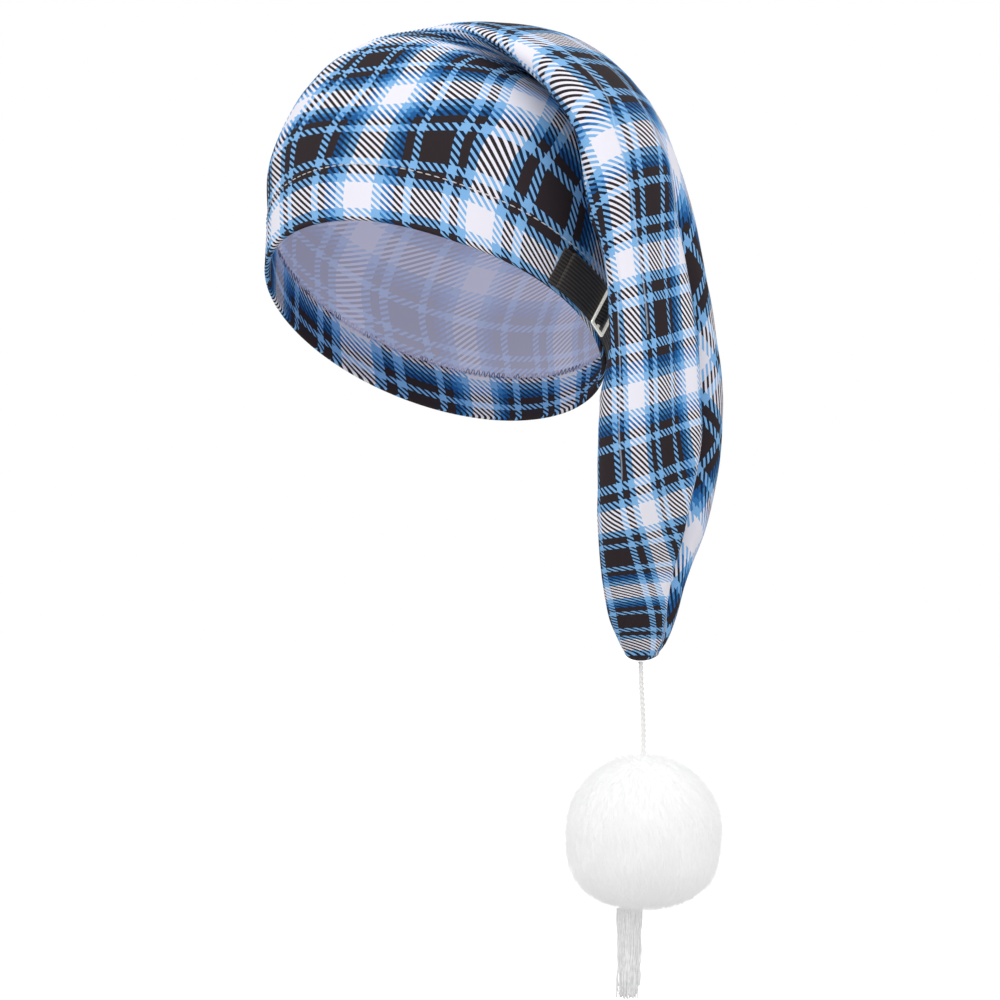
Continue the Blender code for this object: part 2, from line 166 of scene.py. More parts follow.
def gridMesh(name, rows, maps=None, closedAcross=False, capped=False):
    # a smooth mesh over an array of points, rows by columns, with its maps
    count, width = rows.shape[:2]
    columns = width if closedAcross else width - 1
    faces, corners = [], []
    for row in range(count - 1):
        for column in range(columns):
            beside = (column + 1) % width
            low, high = row * width, (row + 1) * width
            faces.append((low + column, low + beside, high + beside, high + column))
            corners.append(((row, column), (row, column + 1), (row + 1, column + 1), (row + 1, column)))
    if capped:
        faces.append(tuple(reversed(range(width))))
        faces.append(tuple((count - 1) * width + column for column in range(width)))
        corners += [[(row, 0)] * width for row in (0, count - 1)]
    mesh = bpy.data.meshes.new(name)
    mesh.from_pydata(rows.reshape(-1, 3).tolist(), [], faces)
    for label, mapping in (maps or {}).items():
        layer = mesh.uv_layers.new(name=label)
        flat = [value for face in corners for corner in face for value in mapping[corner]]
        layer.data.foreach_set("uv", flat)
    mesh.shade_smooth()
    return mesh


fullTurn = 6.283  # radians of a random spin


# Geometry Nodes helpers
def newTree(name, sockets):
    tree = bpy.data.node_groups.new(name, "GeometryNodeTree")
    tree.interface.new_socket("Geometry", in_out="INPUT", socket_type="NodeSocketGeometry")
    for label, kind in sockets.items():
        tree.interface.new_socket(label, in_out="INPUT", socket_type="NodeSocket" + kind)
    tree.interface.new_socket("Geometry", in_out="OUTPUT", socket_type="NodeSocketGeometry")
    return tree, addNode(tree, "NodeGroupInput").outputs, addNode(tree, "NodeGroupOutput")


def runTree(piece, tree, **values):
    modifier = piece.modifiers.new(tree.name, "NODES")
    modifier.node_group = tree
    for item in tree.interface.items_tree:
        if item.in_out == "INPUT" and item.name in values:
            modifier[item.identifier] = values[item.name]
    return bakePiece(piece)


def vectorMath(tree, operation, first, second):
    inputs = {0: first, "Scale" if operation == "SCALE" else 1: second}
    node = addNode(tree, "ShaderNodeVectorMath", inputs, operation=operation)
    return node.outputs["Value" if operation == "DOT_PRODUCT" else 0]


def finishCopies(tree, out, finish, inputs):
    # copies on points, made real and given their material
    copies = addNode(tree, "GeometryNodeInstanceOnPoints", inputs).outputs[0]
    solid = addNode(tree, "GeometryNodeRealizeInstances", {0: copies}).outputs[0]
    finished = addNode(tree, "GeometryNodeSetMaterial", {"Geometry": solid, "Material": finish}).outputs[0]
    tree.links.new(finished, out.inputs[0])
    return tree


def copiesTree():
    # one shape on each point, turned and stretched by the point's own attributes
    tree, given, out = newTree("placeCopies", {"Shape": "Object", "Size": "Float", "Finish": "Material"})
    shape = addNode(tree, "GeometryNodeObjectInfo", {"Object": given["Shape"]}).outputs["Geometry"]
    turn, stretch = (
        addNode(tree, "GeometryNodeInputNamedAttribute", {"Name": label}, data_type="FLOAT_VECTOR").outputs[0]
        for label in ("turn", "stretch")
    )
    sized = vectorMath(tree, "SCALE", stretch, given["Size"])
    return finishCopies(
        tree, out, given["Finish"],
        {"Points": given["Geometry"], "Instance": shape, "Rotation": turn, "Scale": sized},
    )


placeCopies = copiesTree()


def scatterShape(name, shapeMesh, points, turns, stretches, finish):
    mesh = bpy.data.meshes.new(name)
    mesh.from_pydata([tuple(point) for point in points], [], [])
    for label, values in (("turn", turns), ("stretch", stretches)):
        layer = mesh.attributes.new(label, "FLOAT_VECTOR", "POINT")
        layer.data.foreach_set("vector", np.array(values, dtype=float).ravel())
    shape = addPiece(name + "Shape", shapeMesh)
    piece = runTree(addPiece(name, mesh), placeCopies, Shape=shape, Size=1.0, Finish=finish)
    bpy.data.objects.remove(shape, do_unlink=True)
    piece.data.shade_smooth()
    return piece


def turnFor(forward, outward):
    # the turn that lays a shape's X along a direction and its Z outwards
    forward, outward = Vector(forward).normalized(), Vector(outward)
    outward = (outward - forward * outward.dot(forward)).normalized()
    return tuple(Matrix((forward, outward.cross(forward), outward)).transposed().to_euler())


# The cord between the tail's tip and the fur ball: a two-ply twist
cordSetup = {
    "length": 0.045,
    "diameter": 0.0026,
    "twist": 0.0025,
    "core": 0.45,  # share of the radius left between the two plies
    "route": (
        (0.11887, 0.0000, -0.16540),
        (0.11897, 0.0002, -0.17603),
        (0.11957, 0.0004, -0.18707),
        (0.12007, 0.0003, -0.19811),
        (0.12027, 0.0000, -0.21045),
    ),
    "points": 24,
    "stations": 150,
    "sides": 14,
    "glow": 0.06,
}


def smoothRoute(route, count):
    points, last, read = np.array(route), len(route) - 1, []
    for step in range(count):
        place = last * step / (count - 1)
        start = min(int(place), last - 1)
        before, a, b, after = (points[min(max(start + k, 0), last)] for k in (-1, 0, 1, 2))
        t = place - start
        read.append((2 * a + (b - before) * t + (2 * before - 5 * a + 4 * b - after) * t**2
                     + (3 * a - before - 3 * b + after) * t**3) / 2)
    return np.array(read)


def buildCord():
    setup = cordSetup
    line = smoothRoute(setup["route"], setup["stations"])
    around = np.linspace(0, 2 * math.pi, setup["sides"], endpoint=False)
    phase = pathLengths(line)[:, None] / setup["twist"] * math.pi
    ply = np.abs(np.cos(around[None, :] - phase))
    radius = setup["diameter"] / 2 * (setup["core"] + (1 - setup["core"]) * ply)
    rows = line[:, None] + np.stack(
        (radius * np.cos(around), radius * np.sin(around), np.zeros_like(radius)), axis=2
    )
    finish, tree, shader = newMaterial("cordCotton", hexColour("f1f0ee"), 0.75)
    # painted glow: the cord gives off a faint white light of its own
    addGlow(shader, setup["glow"])
    addBump(tree, shader, noiseNode(tree, objectPlace(tree), 2600.0, 3.0), 0.4, 0.0002)
    shader.inputs["Sheen Weight"].default_value = 0.2
    cord = addPiece("hangingCord", gridMesh("hangingCord", rows[:, ::-1], closedAcross=True, capped=True), finish)
    fitPiece(cord, "hanging_cord")
    [tuple(point) for point in smoothRoute(setup["route"], setup["points"])]
    return cord


cord = buildCord()
print("cord ready")


# The cap's form: the same sections as the solid's, read more finely
capForm = {
    "rimRadius": 0.090,
    "rimPitch": 32.5,
    "crownHeight": 0.150,
    "tailReach": 0.127,
    "tailSpan": 0.048,
    "tailDepth": 0.082,
    "tailDrop": 0.165,
    "tipOut": 0.936,
    "rows": 200,
    "hemRows": 14,
    "columns": 180,
    "edgeRows": 9,
    "domeTurns": (15, 30, 45, 60, 75),
    "domeStep": 0.0013,
    "seamAngle": 128.0,
    "printAngle": 315.0,
    "cloth": 0.0009,
    "hemWidth": 0.0262,
    "hemRadius": 0.0013,
    "flat": (0.585, 0.545),  # round the rim with its seam edges, and rim to tip with the hem
    "flatArea": 0.172,  # it tapers to the tip
}

# out, back, up, lean, span, depth, pitch of each section
crownSections = (
    (0.000, 0.000, 0.000, 2, 1.000, 0.955, 1.00),
    (0.000, 0.115, 0.190, 2, 1.055, 1.005, 0.98),
    (-0.020, 0.210, 0.342, 3, 1.085, 1.030, 0.93),
    (0.035, 0.345, 0.563, 7, 0.990, 0.980, 0.83),
    (0.130, 0.375, 0.725, 12, 0.765, 0.810, 0.68),
    (0.226, 0.355, 0.832, 20, 0.475, 0.640, 0.46),
)
foldSections = (
    (0.320, 0.600, 0.868, 36, 1.160, 1.290, 0.26),
    (0.485, 0.450, 0.849, 60, 0.876, 1.160, 0.06),
    (0.632, 0.300, 0.781, 83, 0.775, 1.030, 0.00),
    (0.785, 0.190, 0.639, 108, 0.704, 0.980, 0.00),
)
tailSections = (
    (0.885, 0.120, 0.395, 133, 0.840, 0.950, 0.00),
    (0.950, 0.100, 0.163, 153, 0.860, 0.940, 0.00),
    (0.990, 0.090, -0.122, 174, 0.930, 0.960, 0.00),
    (0.998, 0.060, -0.379, 180, 0.960, 0.985, 0.00),
    (0.978, 0.030, -0.597, 180, 0.850, 0.900, 0.00),
    (0.952, 0.000, -0.748, 180, 0.715, 0.720, 0.00),
    (0.945, -0.020, -0.870, 180, 0.590, 0.530, 0.00),
    (0.942, -0.010, -0.944, 180, 0.417, 0.360, 0.00),
    (0.938, 0.000, -0.987, 180, 0.250, 0.200, 0.00),
)
# start, end (share of the way from rim to tip), angle at each, width in degrees, height in metres
mainFolds = {
    "fullness at the nape": (-0.15, 0.15, 205, 205, 50, 0.0026),
    "flat temple": (-0.15, 0.15, 35, 35, 24, -0.0034),
    "pinch on the crown": (0.22, 0.36, 318, 330, 7, -0.0029),
    "tail's outer ridge": (0.56, 0.97, 278, 284, 10, 0.0048),
    "valley behind the ridge": (0.56, 0.98, 260, 265, 9, -0.0144),
    "bulge at the back": (0.60, 0.93, 234, 230, 18, 0.0034),
    "crease at the head's side": (0.50, 0.85, 75, 70, 12, -0.0038),
    "hollow beside the slider": (0.57, 0.75, 40, 40, 26, -0.0082),
}
fineFolds = {
    "crease down the tail's front": (0.58, 0.94, 351, 353, 2.5, -0.0011),
    "soft fold right of it": (0.56, 0.90, 318, 306, 5, 0.0008),
    "tuck beside the ridge": (0.60, 0.86, 296, 302, 2.5, -0.0009),
    "pressed line down the tail": (0.36, 0.66, 306, 312, 1.6, 0.0005),
    "second pressed line": (0.38, 0.66, 290, 296, 1.6, 0.0005),
}
allFolds = {**mainFolds, **fineFolds}


def sectionRing(section, reach, height, span, depth):
    out, back, up, lean, spanShare, depthShare, pitchShare = section
    leanAngle, pitchAngle = math.radians(lean), math.radians(pitchShare * capForm["rimPitch"])
    centre = (out * reach, back * depth / 2, up * height)
    inner = np.array((math.cos(leanAngle), 0, -math.sin(leanAngle))) * spanShare * span / 2
    front = np.array((0, -math.cos(pitchAngle), math.sin(pitchAngle))) * depthShare * depth / 2
    return np.array((centre, inner, front))


def capRings():
    form = capForm
    across = 2 * form["rimRadius"]
    tailSize = (form["tailSpan"], form["tailDepth"])
    found = [sectionRing(s, form["rimRadius"], form["crownHeight"], across, across) for s in crownSections]
    found += [sectionRing(s, form["tailReach"], form["crownHeight"], *tailSize) for s in foldSections]
    found += [sectionRing(s, form["tailReach"], form["tailDrop"], *tailSize) for s in tailSections]
    return np.array(found)


rings = capRings()
sides = np.stack([rings[:, 0] + sign * rings[:, axis] for axis in (1, 2) for sign in (1, -1)])
ringPlaces = np.concatenate(((0.0,), np.cumsum(np.linalg.norm(np.diff(sides, axis=1), axis=2).mean(axis=0))))
clothLength = ringPlaces[-1]
lastRing = len(ringPlaces) - 1
ringSlopes = np.array([
    (rings[min(k + 1, lastRing)] - rings[max(k - 1, 0)])
    / (ringPlaces[min(k + 1, lastRing)] - ringPlaces[max(k - 1, 0)])
    for k in range(lastRing + 1)
])


def ringsAt(places):
    start = np.clip(np.searchsorted(ringPlaces, places, side="right") - 1, 0, lastRing - 1)
    step = (ringPlaces[start + 1] - ringPlaces[start])[..., None, None]
    t = (places - ringPlaces[start])[..., None, None] / step
    return (
        rings[start] * (1 + 2 * t) * (1 - t) ** 2
        + ringSlopes[start] * step * t * (1 - t) ** 2
        + rings[start + 1] * t**2 * (3 - 2 * t)
        + ringSlopes[start + 1] * step * t**2 * (t - 1)
    )


def capPoints(places, degrees, folds=allFolds):
    # points on the outer face, for distances from the rim and angles of one shape
    places, degrees = np.broadcast_arrays(np.asarray(places, float), np.asarray(degrees, float))
    relief = np.zeros(places.shape)
    for start, end, angleStart, angleEnd, width, height in folds.values():
        way = (places / clothLength - start) / (end - start)
        across = (degrees - angleStart - (angleEnd - angleStart) * way + 180) % 360 - 180
        relief += height * np.sin(np.pi * np.clip(way, 0, 1)) * np.exp(-((across / width) ** 2))
    found, turn = ringsAt(places), np.radians(degrees)[..., None]
    arms = found[..., 1, :] * np.sin(turn) + found[..., 2, :] * np.cos(turn)
    return found[..., 0, :] + arms * (1 + relief[..., None] / np.linalg.norm(arms, axis=-1, keepdims=True))


def capAxes(places, degrees, folds=allFolds):
    # unit directions round the cap and outwards, and the unscaled step along the cloth
    small = 2e-4
    turn = math.degrees(small / capForm["rimRadius"])
    degrees = np.asarray(degrees)
    beside = capPoints(places, degrees + turn, folds) - capPoints(places, degrees - turn, folds)
    beside /= np.linalg.norm(beside, axis=-1, keepdims=True)
    low = np.maximum(np.asarray(places, float) - small, 0)
    high = np.asarray(places, float) + small
    above = (capPoints(high, degrees, folds) - capPoints(low, degrees, folds)) / (high - low)[..., None]
    outward = np.cross(beside, above)
    return beside, above, outward / np.linalg.norm(outward, axis=-1, keepdims=True)


# low undulations of the cloth, none at the hem: where they start, over what way, then scales and heights
wrinkleSetup = {"from": 0.030, "fade": 0.05, "broad": (26, 0.0011), "fine": (80, 0.0003)}


def addWrinkles(points, outward, places):
    setup = wrinkleSetup
    strength = np.clip((places - setup["from"]) / setup["fade"], 0, 1)
    height = np.zeros(points.shape[:2])
    for row in np.nonzero(strength > 0)[0]:
        for column in range(points.shape[1] - 1):
            place = Vector(points[row, column])
            parts = [noise.noise(place * scale) * depth for scale, depth in (setup["broad"], setup["fine"])]
            height[row, column] = parts[0] + parts[1]
    height[:, -1] = height[:, 0]
    return points + outward * (height * strength[:, None])[:, :, None]


# Where the print's stripes meet: way from rim to tip, angle, then warp and weft places in millimetres
printMarks = (
    # crown and tail
    (0.025, 359, 92.75, 33.75), (0.137, 10, 92.75, 92.75), (0.073, 6, 92.75, 60), (0.083, 25, 125.5, 60),
    (0.08, 340, 60, 60), (0.029, 39, 151.75, 33.75), (0.181, 48, 151.75, 92.75), (0.099, 43, 151.75, 60),
    (0.079, 63, 178, 60), (0.087, 52, 164.25, 60), (0.238, 30, 125.5, 125.5), (0.154, 29, 125.5, 92.75),
    (0.052, 23, 125.5, 46.25), (0.035, 61, 178, 46.25), (0.053, 335, 60, 46.25), (0.077, 350, 73.75, 60),
    (0.179, 356, 60, 125.5), (0.195, 14, 92.75, 125.5), (0.132, 350, 60, 92.75), (0.077, 17, 111.75, 60),
    (0.467, 274, 7.5, 296), (0.537, 331, 33.75, 328.75), (0.538, 282, 7.5, 328.75), (0.592, 296, 7.5, 361.5),
    (0.592, 336, 33.75, 361.5), (0.641, 338, 33.75, 387.75), (0.638, 301, 7.5, 387.75), (0.635, 280, -25.25, 387.75),
    (0.689, 306, 7.5, 414), (0.688, 340, 33.75, 414), (0.69, 326, 21.25, 414), (0.684, 288, -25.25, 414),
    (0.756, 344, 33.75, 446.75), (0.74, 290, -25.25, 446.75), (0.72, 322, 21.25, 427.75), (0.752, 319, 21.25, 446.75),
    (0.752, 306, 15, 446.75), (0.805, 309, 21.25, 479.5), (0.805, 340, 33.75, 479.5), (0.792, 293, -25.25, 479.5),
    (0.826, 10, 60, 479.5), (0.855, 324, 33.75, 505.75), (0.866, 4, 60, 505.75), (0.903, 348, 60, 532),
    (0.9, 294, 33.75, 532), (0.9, 324, 46.25, 532), (0.931, 278, 33.75, 564.75), (0.937, 344, 60, 564.75),
    (0.956, 332, 60, 597.5), (0.961, 286, 42, 597.5), (0.985, 318, 60, 623.75), (0.465, 342, 33.75, 296),
    (0.399, 354, 33.75, 269.75), (0.428, 296, 7.5, 269.75),
    # along the rim
    (0, 140, -222, 7), (0, 172, -176, 7), (0, 202, -124.25, 7), (0, 212, -110.5, 7), (0, 236, -84, 7),
    (0, 262, -58, 7), (0, 284, -18, 12), (0, 308, 14, 19), (0, 332, 47, 21), (0, 20, 115, 21), (0, 68, 180, 21),
    (0, 92, 213, 21), (0, 116, 245, 21),
)
printSettings = {"reach": 0.062, "smoothing": 0.05}
# past these angles the tail's cloth runs on at its own size to the seam, and behind the valley it is turned
printEnds = (
    {"angle": 268, "fade": -6, "start": 0.44, "full": 0.60, "turn": 43},
    {"angle": 400, "fade": 16, "start": 0.40, "full": 0.52, "turn": 0},
)


def printSpread(points, angles, sheet):
    # cloth lengths round each row from one line down the front, and from the rim towards the tip
    around = np.zeros(points.shape[:2])
    around[:, 1:] = np.cumsum(np.linalg.norm(np.diff(points, axis=1), axis=2), axis=1)
    reference = int(np.argmin(np.abs((angles - capForm["printAngle"] + 180) % 360 - 180)))
    around -= around[:, reference][:, None]
    along = np.repeat(sheet[:, None], points.shape[1], axis=1)

    # the stretch that brings the stripes to their marks, strongest near each mark
    marks = np.array(printMarks)
    rows = np.interp(marks[:, 0] * clothLength, sheet, np.arange(len(sheet)))
    seam = capForm["seamAngle"]
    columns = np.interp((marks[:, 1] - seam) % 360, angles - seam, np.arange(len(angles)))
    atMark = around[np.round(rows).astype(int), np.round(columns).astype(int)]
    flat = np.stack((atMark, marks[:, 0] * clothLength), axis=1)
    wanted = marks[:, 2:] / 1000
    base = np.column_stack((flat, np.ones(len(flat))))
    straight = np.linalg.lstsq(base, wanted, rcond=None)[0]
    reach = printSettings["reach"]
    spacing = ((flat[:, None] - flat[None]) ** 2).sum(axis=2)
    pull = np.exp(-spacing / reach**2) + printSettings["smoothing"] * np.eye(len(flat))
    weights = np.linalg.solve(pull, wanted - base @ straight)
    grid = np.stack((around, along), axis=2)
    spread = np.concatenate((grid, np.ones((*around.shape, 1))), axis=2) @ straight
    for mark, weight in zip(flat, weights):
        spread += np.exp(-((grid - mark) ** 2).sum(axis=2) / reach**2)[:, :, None] * weight
    for part in printEnds:
        way = np.clip((sheet / clothLength - part["start"]) / (part["full"] - part["start"]), 0, 1)
        way = way**2 * (3 - 2 * way)
        turn = np.radians(part["turn"] * way)
        first = int(np.argmax(way > 0))
        border = int(np.argmin(np.abs(angles - part["angle"])))
        steps = np.diff(sheet, prepend=0) * (np.arange(len(sheet)) > first)
        onward = np.stack((-np.sin(turn), np.cos(turn)), axis=1)
        sideways = np.stack((np.cos(turn), np.sin(turn)), axis=1)
        line = spread[first, border] + np.cumsum(onward * steps[:, None], axis=0)
        across = around - around[:, border][:, None]
        runOn = line[:, None] + across[:, :, None] * sideways[:, None]
        beyond = np.clip((angles - part["angle"]) / part["fade"], 0, 1)
        share = (way[:, None] * beyond)[:, :, None]
        spread = spread * (1 - share) + runOn * share
    return spread


def buildCapCloth(outside, inside):
    # one sheet from the tip to the rim, round the rim's edge and up inside as the turned hem
    form = capForm
    radius = form["hemRadius"]
    quarter = radius * math.pi / 2
    angles = form["seamAngle"] + np.linspace(0, 360, form["columns"] + 1)
    turned = -np.linspace(form["hemWidth"], quarter + 0.001, form["hemRows"])
    edge = np.linspace(-quarter, quarter, form["edgeRows"])
    outer = np.linspace(quarter, clothLength - quarter, form["rows"])[1:]
    sheet = np.concatenate((turned, edge, outer))
    beyond = np.abs(sheet) - quarter
    bend = np.clip(sheet, -quarter, quarter) / radius
    places = np.where(beyond > 0, radius + beyond, radius * (1 - np.cos(bend)))
    depths = radius * (1 - np.sin(bend))
    rows, columns = np.meshgrid(places, angles, indexing="ij")
    outward = capAxes(rows, columns)[2]
    points = addWrinkles(capPoints(rows, columns), outward, np.where(sheet > 0, places, 0))
    points -= outward * depths[:, None, None]
    mapping = printSpread(points, angles, sheet)
    placing = np.stack((columns / 360, rows / clothLength), axis=2)

    # the rounded tip
    tip = np.array((form["tipOut"] * form["tailReach"], 0, -form["tailDrop"]))
    last, turns = points[-1], np.radians(form["domeTurns"])[:, None, None]
    level = np.array((1, 1, 0))
    dome = tip + (last - tip) * level * np.cos(turns) + (last - tip) * (1 - level) * (1 - np.sin(turns))
    points = np.concatenate((points, dome))
    further = [mapping[-1] + (0, form["domeStep"] * step) for step in range(1, len(turns) + 1)]
    mapping = np.concatenate((mapping, further))
    placing = np.concatenate((placing, [placing[-1]] * len(turns)))

    mesh = gridMesh("capCloth", points[:, :-1], {"clothMap": mapping, "placeMap": placing}, closedAcross=True)
    bm = bmesh.new()
    bm.from_mesh(mesh)
    layers = [(bm.loops.layers.uv["clothMap"], mapping), (bm.loops.layers.uv["placeMap"], placing)]
    last = list(bm.verts)[-form["columns"]:]
    tip = bm.verts.new(tip)
    for column in range(form["columns"]):
        beside = (column + 1) % form["columns"]
        face = bm.faces.new((last[column], last[beside], tip))
        face.smooth = True
        for layer, places in layers:
            for loop, shift in zip(face.loops, (0, 1, 0)):
                loop[layer].uv = places[-1, column + shift]
    bm.to_mesh(mesh)
    bm.free()
    piece = addPiece("capCloth", mesh, outside, inside)
    wall = piece.modifiers.new("wall", "SOLIDIFY")
    wall.thickness = form["cloth"]
    wall.offset = -1
    wall.material_offset = 1
    piece = bakePiece(piece)
    fitPiece(piece, "crown_and_tail")
    return piece


# The tartan: stripe widths in millimetres, the same across and along
plaidSetup = {
    "stripes": (
        ("black", 15.0), ("sky", 4.0), ("black", 4.5), ("sky", 4.0), ("white", 12.5), ("sky", 4.0),
        ("black", 4.5), ("sky", 4.0), ("black", 15.0), ("sky", 4.0), ("black", 4.5), ("blue", 3.0), ("azure", 3.0),
        ("sky", 4.0), ("white", 13.5), ("sky", 4.0), ("azure", 3.0), ("blue", 3.0), ("black", 4.5), ("sky", 4.0),
    ),
    "colours": {
        "black": hexColour("2d2428"),
        "sky": hexColour("84baec"),
        "azure": hexColour("3c82c2"),
        "blue": hexColour("195c9c"),
        "white": hexColour("f3f1fb"),
    },
    "navy": hexColour("0e2440"),
    "twillPitch": 3.7,
    "twillSlope": 1.17,
    "insideColour": hexColour("bab9cd"),
    "insideFade": 0.76,
    "insidePaintedGlow": 0.30,
}


def stripeRamp(tree, place):
    stripes = plaidSetup["stripes"]
    repeat = sum(width for _, width in stripes)
    node = addNode(tree, "ShaderNodeValToRGB", {0: place})
    ramp = node.color_ramp
    ramp.interpolation = "CONSTANT"
    ramp.elements.remove(ramp.elements[1])
    edge = 0.0
    for index, (colour, width) in enumerate(stripes):
        stop = ramp.elements[0] if index == 0 else ramp.elements.new(edge / repeat)
        stop.position = edge / repeat
        stop.color = plaidSetup["colours"][colour]
        edge += width
    return node.outputs[0]


def plaidColour(tree):
    # twill: each diagonal rib shows the warp or the weft, and black beside blue turns navy
    setup = plaidSetup
    repeat = sum(width for _, width in setup["stripes"]) / 1000
    across, along = addNode(tree, "ShaderNodeSeparateXYZ", {0: mapPlace(tree, "clothMap")}).outputs[:2]
    warp = stripeRamp(tree, mathNode(tree, "FRACT", mathNode(tree, "DIVIDE", across, repeat)))
    weft = stripeRamp(tree, mathNode(tree, "FRACT", mathNode(tree, "DIVIDE", along, repeat)))
    slant = mathNode(tree, "MULTIPLY_ADD", along, setup["twillSlope"], across)
    twill = mathNode(tree, "FRACT", mathNode(tree, "DIVIDE", slant, setup["twillPitch"] / 1000))
    onWeft = mathNode(tree, "GREATER_THAN", twill, 0.5)
    shown, hidden = mixColour(tree, onWeft, warp, weft), mixColour(tree, onWeft, weft, warp)
    shownParts = addNode(tree, "ShaderNodeSeparateColor", {0: shown}).outputs
    hiddenParts = addNode(tree, "ShaderNodeSeparateColor", {0: hidden}).outputs
    dark = mathNode(tree, "LESS_THAN", shownParts[2], 0.1)
    blue = mathNode(tree, "GREATER_THAN", mathNode(tree, "SUBTRACT", hiddenParts[2], hiddenParts[0]), 0.2)
    return mixColour(tree, mathNode(tree, "MULTIPLY", dark, blue), shown, setup["navy"])


# Light lines painted where the tail was pressed flat, a painted highlight on each pressed ridge: way from rim to tip
# and angle of their bends
creaseHighlightSetup = {
    "lines": (
        ((0.412, 314), (0.44, 305), (0.482, 303), (0.527, 314), (0.58, 320), (0.63, 322), (0.70, 324)),
        ((0.438, 276), (0.467, 266), (0.507, 262), (0.54, 258), (0.568, 265), (0.61, 278), (0.65, 286)),
        ((0.658, 354), (0.693, 356), (0.738, 356.4), (0.783, 356.6), (0.828, 352)),
    ),
    "base": 250.0,
    "range": 120.0,
    "width": 1.3,
    "colour": hexColour("c9daf3"),
    "strength": 0.55,
}


def addCreaseHighlights(tree, colour):
    setup = creaseHighlightSetup
    parts = addNode(tree, "ShaderNodeSeparateXYZ", {0: mapPlace(tree, "placeMap")}).outputs
    degrees = mathNode(tree, "MULTIPLY", parts[0], 360.0)
    for line in setup["lines"]:
        node = addNode(tree, "ShaderNodeFloatCurve", {"Value": parts[1]})
        curve = node.mapping.curves[0]
        ends = (0.0, line[0][1]), *line, (1.0, line[-1][1])
        for index, (way, angle) in enumerate(ends):
            point = (way, (angle - setup["base"]) / setup["range"])
            if index in (0, len(ends) - 1):
                curve.points[0 if index == 0 else -1].location = point
            else:
                curve.points.new(*point)
        node.mapping.update()
        centre = mathNode(tree, "MULTIPLY_ADD", node.outputs[0], setup["range"], setup["base"])
        beside = mathNode(tree, "ABSOLUTE", mathNode(tree, "SUBTRACT", degrees, centre))
        near = mathNode(tree, "SUBTRACT", 1.0, mathNode(tree, "DIVIDE", beside, setup["width"]))
        begun = mathNode(tree, "GREATER_THAN", parts[1], line[0][0])
        within = mathNode(tree, "MULTIPLY", begun, mathNode(tree, "LESS_THAN", parts[1], line[-1][0]))
        share = mathNode(tree, "MULTIPLY", mathNode(tree, "MAXIMUM", near, 0.0), within)
        colour = mixColour(tree, mathNode(tree, "MULTIPLY", share, setup["strength"]), colour, setup["colour"])
    return colour


def buildPlaid(name, faded):
    made, tree, shader = newMaterial(name, (0.5, 0.5, 0.5, 1), 0.85)
    colour = plaidColour(tree)
    if faded:
        # the cloth's wrong side, its print faded towards lavender grey, with a painted glow in the same colours in
        # place of light through the cloth
        colour = mixColour(tree, plaidSetup["insideFade"], colour, plaidSetup["insideColour"])
        tree.links.new(colour, shader.inputs["Emission Color"])
        shader.inputs["Emission Strength"].default_value = plaidSetup["insidePaintedGlow"]
    else:
        # painted highlights along the pressed lines
        colour = addCreaseHighlights(tree, colour)
    tree.links.new(colour, shader.inputs["Base Color"])
    shader.inputs["Specular IOR Level"].default_value = 0.25
    place = mapPlace(tree, "clothMap")
    knit = waveNode(tree, place, 900.0, 1.0, "X")
    rows = waveNode(tree, place, 640.0, 1.0, "Y")
    addBump(tree, shader, mathNode(tree, "ADD", knit, rows), 0.25, 0.0001)
    return made


capCloth = buildCapCloth(buildPlaid("plaidPrint", False), buildPlaid("plaidInside", True))
print("cap cloth:", len(capCloth.data.polygons), "faces")


# The elastic strap on the hem, ribbed along its length, and the slider that it passes through
strapSetup = {
    "width": 0.020,
    "thickness": 0.0012,
    "rise": 0.0009,
    "front": 0.038,
    "fold": 0.033,
    "rear": 0.037,
    "tab": 0.008,
    "angle": 93.0,
    "gap": 0.0003,
    "sliderGap": 0.00045,
    "ribs": 11,
    "ribDepth": 0.00040,
    "edge": 0.02,  # share of the width over which the selvedge thins
    "edgeThin": 0.35,
    "acrossPoints": 61,
    "step": 0.0007,
    "weaveTop": 0.30,
    "weaveFoot": 0.68,
}
sliderSetup = {
    "width": 0.024,
    "bar": 0.0016,
    "thickness": 0.0012,
    "spacing": 0.0059,
    "corner": 0.0012,
    "slotCorner": 0.0004,
    "bevel": 0.00045,
    "cornerSteps": 6,
    "glow": 0.42,
}
lowerLayer = strapSetup["gap"] + strapSetup["thickness"] / 2
upperLayer = lowerLayer + strapSetup["thickness"] + strapSetup["gap"]
sliderLayer = upperLayer + strapSetup["thickness"] / 2 + strapSetup["sliderGap"] + sliderSetup["thickness"] / 2
crestLayer = 2 * sliderLayer - upperLayer


def hemFrame(along, rise):
    # a point on the hem, and the directions along the rim and outwards, squared to the rim
    setup = strapSetup
    along, rise = np.broadcast_arrays(np.asarray(along, float), np.asarray(rise, float))
    degrees = setup["angle"] + np.degrees(along / capForm["rimRadius"])
    middle = np.full(along.shape, setup["rise"] + setup["width"] / 2)
    beside, above, _ = capAxes(middle, degrees, mainFolds)
    lean = (above * beside).sum(axis=-1)
    degrees = degrees - np.degrees((rise - middle) * lean / capForm["rimRadius"])
    beside, _, outward = capAxes(rise, degrees, mainFolds)
    return capPoints(rise, degrees, mainFolds), beside, outward


def roundedPath(corners, step, passes=3):
    line = np.array(corners, float)
    for _ in range(passes):
        before, after = line[:-1], line[1:]
        cut = np.stack((before * 0.75 + after * 0.25, before * 0.25 + after * 0.75), axis=1)
        line = np.concatenate((line[:1], cut.reshape(-1, 2), line[-1:]))
    travelled = pathLengths(line)
    even = np.linspace(0, travelled[-1], max(int(travelled[-1] / step), 2))
    return np.stack([np.interp(even, travelled, line[:, axis]) for axis in (0, 1)], axis=1), even


